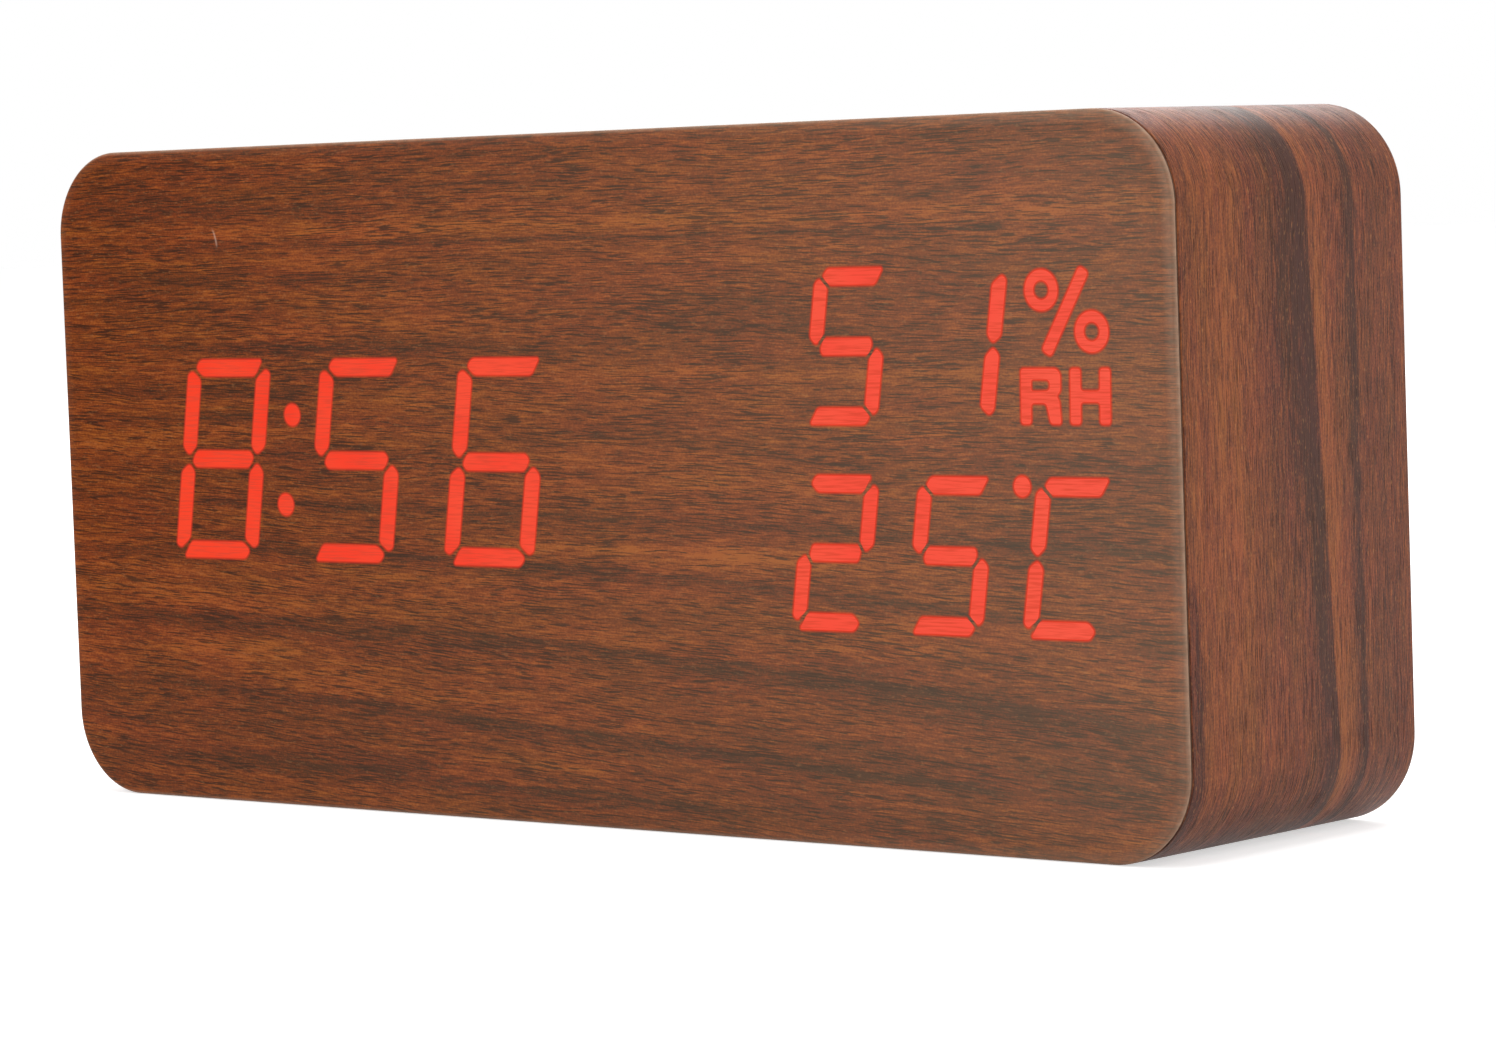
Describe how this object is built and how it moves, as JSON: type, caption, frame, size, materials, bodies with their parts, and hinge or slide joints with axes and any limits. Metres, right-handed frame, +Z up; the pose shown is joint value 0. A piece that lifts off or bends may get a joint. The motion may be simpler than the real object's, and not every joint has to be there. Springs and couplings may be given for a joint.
{
  "type": "digital alarm clock",
  "caption": "Wood-finished desk alarm clock with a segment readout behind its front, rear push buttons and a hinged battery door.",
  "frame": {"origin": "middle of the underside, where the clock stands", "axes": "+X to the right as seen from the front, +Y from the readout to the rear cover, +Z up"},
  "size_m": [0.15, 0.038, 0.07],
  "materials": {
    "walnut_front": "satin walnut-grain film, grain along the width",
    "walnut_wrap": "satin walnut-grain film, grain round the edge",
    "fibreboard": "raw medium-density fibreboard",
    "black_moulding": "fine moulded texture",
    "diffuser_film": "frosted film",
    "circuit_board": "green solder mask",
    "chip_epoxy": "moulded epoxy",
    "plated_steel": "nickel plated",
    "screw_steel": "dark zinc plated",
    "cell_sleeve": "plain shrink sleeve",
    "switch_plastic": "moulded",
    "switch_plunger": "moulded",
    "ribbon_film": "flexible film",
    "socket_white": "moulded",
    "red_insulation": "wire insulation",
    "black_insulation": "wire insulation"
  },
  "bodies": {
    "case": {"casing_body": "fibreboard", "side_wrap": "walnut_wrap", "front_sheet": "walnut_front", "diffuser_sheet": "diffuser_film", "segment_reflector": "black_moulding", "display_board": "circuit_board", "controller_chip": "chip_epoxy", "quartz_crystal": "plated_steel", "display_screw_1": "screw_steel", "display_screw_2": "screw_steel", "display_screw_3": "screw_steel", "display_screw_4": "screw_steel", "cover_screw_1": "screw_steel", "cover_screw_2": "screw_steel", "cover_screw_3": "screw_steel", "cover_screw_4": "screw_steel", "key_board_screw_1": "screw_steel", "key_board_screw_2": "screw_steel", "rear_cover": "black_moulding", "battery_cell_1": "cell_sleeve", "battery_cell_2": "cell_sleeve", "battery_cell_3": "cell_sleeve", "contact_plus": "plated_steel", "contact_right_bridge": "plated_steel", "contact_left_bridge": "plated_steel", "contact_minus": "plated_steel", "cell_spring_1": "plated_steel", "cell_spring_2": "plated_steel", "cell_spring_3": "plated_steel", "key_board": "circuit_board", "switch_body_1": "switch_plastic", "switch_body_2": "switch_plastic", "switch_body_3": "switch_plastic", "power_socket": "black_moulding", "buzzer": "black_moulding", "climate_sensor": "socket_white", "ribbon_socket_1": "socket_white", "ribbon_socket_2": "socket_white", "ribbon_cable": "ribbon_film", "battery_lead_red": "red_insulation", "battery_lead_black": "black_insulation"},
    "set_key": {"set_button": "black_moulding", "switch_plunger_1": "switch_plunger"},
    "up_key": {"up_button": "black_moulding", "switch_plunger_2": "switch_plunger"},
    "down_key": {"down_button": "black_moulding", "switch_plunger_3": "switch_plunger"},
    "door": {"battery_door": "black_moulding"}
  },
  "joints": [
    {"name": "set_press", "type": "slide", "parent": "case", "child": "set_key", "axis": [0, -1, 0], "range_m": [0, 0.0005], "stiffness_N_per_m": 600, "springref_m": -0.0004},
    {"name": "up_press", "type": "slide", "parent": "case", "child": "up_key", "axis": [0, -1, 0], "range_m": [0, 0.0005], "stiffness_N_per_m": 600, "springref_m": -0.0004},
    {"name": "down_press", "type": "slide", "parent": "case", "child": "down_key", "axis": [0, -1, 0], "range_m": [0, 0.0005], "stiffness_N_per_m": 600, "springref_m": -0.0004},
    {"name": "door_swing", "type": "hinge", "parent": "case", "child": "door", "pos_m": [0.0125, 0.0174, 0.035], "axis": [0, 0, 1], "range_deg": [0, 70]}
  ]
}
